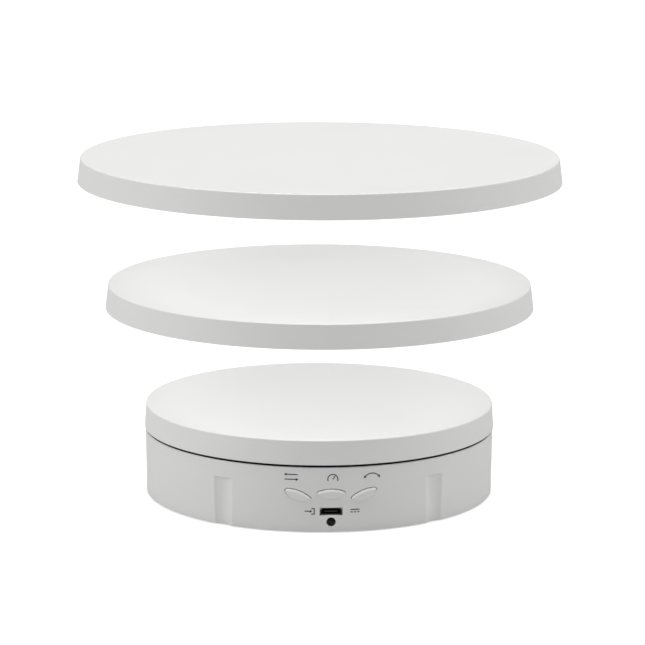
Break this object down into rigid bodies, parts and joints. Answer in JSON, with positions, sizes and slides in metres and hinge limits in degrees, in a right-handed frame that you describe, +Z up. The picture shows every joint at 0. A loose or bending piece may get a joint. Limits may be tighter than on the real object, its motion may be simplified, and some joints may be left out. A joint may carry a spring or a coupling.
{
  "type": "motorised display turntable",
  "caption": "Motor-driven display turntable: a low round base with lens-shaped keys turns a round plate, and wider loose plates stand clear above it, ready to drop over it.",
  "frame": {"origin": "centre of the spindle axis on the surface that the feet stand on", "axes": "+Z up along the spindle axis, -Y out of the middle of the controls, +X to the right of someone facing the controls"},
  "size_m": [0.2, 0.2, 0.1414],
  "materials": {
    "white_shell": "moulded white ABS, satin with a very fine grain",
    "cover_shell": "moulded white ABS, matt",
    "key_plastic": "moulded white ABS, smooth",
    "foot_rubber": "moulded soft rubber, matt",
    "screw_steel": "zinc-plated steel",
    "race_steel": "polished bearing steel",
    "can_steel": "nickel-plated pressed steel",
    "switch_steel": "tinned pressed steel",
    "socket_steel": "black nickel-plated pressed steel",
    "sintered_bronze": "oil-filled sintered bronze",
    "copper_wire": "enamelled copper wire",
    "ferrite": "sintered ferrite",
    "gear_nylon": "moulded natural acetal",
    "connector_nylon": "moulded natural nylon",
    "hub_plastic": "moulded black acetal",
    "blue_plastic": "moulded blue cover",
    "chip_plastic": "black moulded epoxy",
    "board_laminate": "green solder mask on glass laminate",
    "lead_insulation": "coloured insulation",
    "eye_lens": "smooth black infrared lens",
    "sign_ink": "dark grey pad-printed ink, for the signs on the wall"
  },
  "bodies": {
    "base": {"housing": "white_shell", "bottom_cover": "cover_shell", "rubber_feet": "foot_rubber", "cover_screws": "screw_steel", "control_board": "board_laminate", "board_parts": "chip_plastic", "lead_socket": "connector_nylon", "lead_plug": "connector_nylon", "motor_leads": "lead_insulation", "switch_bodies": "switch_steel", "usb_shell": "socket_steel", "usb_tongue": "chip_plastic", "infrared_eye": "eye_lens", "motor_can": "can_steel", "motor_flange": "can_steel", "motor_cap": "blue_plastic", "motor_screws": "screw_steel", "shaft_bush": "sintered_bronze", "coil_bobbins": "connector_nylon", "coil_windings": "copper_wire", "stator_poles": "can_steel", "gear_plate": "can_steel", "gear_pins": "can_steel", "lower_race": "race_steel"},
    "direction_button": {"direction_key": "key_plastic", "direction_plunger": "chip_plastic"},
    "speed_button": {"speed_key": "key_plastic", "speed_plunger": "chip_plastic"},
    "angle_button": {"angle_key": "key_plastic", "angle_plunger": "chip_plastic"},
    "rotor": {"rotor_magnet": "ferrite", "rotor_pinion": "gear_nylon"},
    "first_gear": {"first_gear": "gear_nylon"},
    "second_gear": {"second_gear": "gear_nylon"},
    "third_gear": {"third_gear": "gear_nylon"},
    "platter": {"output_gear": "gear_nylon", "output_shaft": "can_steel", "drive_hub": "hub_plastic", "hub_screws": "screw_steel", "upper_race": "race_steel", "small_plate": "white_shell"},
    "ball_ring": {"thrust_balls": "race_steel", "ball_cage": "gear_nylon"},
    "mid_plate": {"mid_plate": "white_shell"},
    "large_plate": {"large_plate": "white_shell"}
  },
  "joints": [
    {"name": "platter_spin", "type": "hinge", "parent": "base", "child": "platter", "pos_m": [0, 0, 0.028], "axis": [0, 0, 1], "continuous": true},
    {"name": "ball_ring_spin", "type": "hinge", "parent": "base", "child": "ball_ring", "pos_m": [0, 0, 0.032], "axis": [0, 0, 1], "continuous": true},
    {"name": "third_gear_spin", "type": "hinge", "parent": "base", "child": "third_gear", "pos_m": [0.00155, -0.00595, 0.0232], "axis": [0, 0, 1], "continuous": true},
    {"name": "second_gear_spin", "type": "hinge", "parent": "base", "child": "second_gear", "pos_m": [-0.00142, -0.01131, 0.0218], "axis": [0, 0, 1], "continuous": true},
    {"name": "first_gear_spin", "type": "hinge", "parent": "base", "child": "first_gear", "pos_m": [-0.00615, -0.008, 0.0204], "axis": [0, 0, 1], "continuous": true},
    {"name": "rotor_spin", "type": "hinge", "parent": "base", "child": "rotor", "pos_m": [0, -0.008, 0.0138], "axis": [0, 0, 1], "continuous": true},
    {"name": "direction_press", "type": "slide", "parent": "base", "child": "direction_button", "axis": [0, 1, 0], "range_m": [0, 0.0004], "stiffness_N_per_m": 800, "springref_m": -0.001},
    {"name": "speed_press", "type": "slide", "parent": "base", "child": "speed_button", "axis": [0, 1, 0], "range_m": [0, 0.0004], "stiffness_N_per_m": 800, "springref_m": -0.001},
    {"name": "angle_press", "type": "slide", "parent": "base", "child": "angle_button", "axis": [0, 1, 0], "range_m": [0, 0.0004], "stiffness_N_per_m": 800, "springref_m": -0.001},
    {"name": "mid_plate_lift", "type": "slide", "parent": "platter", "child": "mid_plate", "axis": [0, 0, 1], "range_m": [-0.0479, 0]},
    {"name": "large_plate_lift", "type": "slide", "parent": "mid_plate", "child": "large_plate", "axis": [0, 0, 1], "range_m": [-0.0505, 0]}
  ],
  "couplings": [
    {"joint": "ball_ring_spin", "follows": "platter_spin", "ratio": 0.5},
    {"joint": "third_gear_spin", "follows": "platter_spin", "ratio": -3.1},
    {"joint": "second_gear_spin", "follows": "platter_spin", "ratio": 8.9556},
    {"joint": "first_gear_spin", "follows": "platter_spin", "ratio": -17.911},
    {"joint": "rotor_spin", "follows": "platter_spin", "ratio": 63.684}
  ]
}
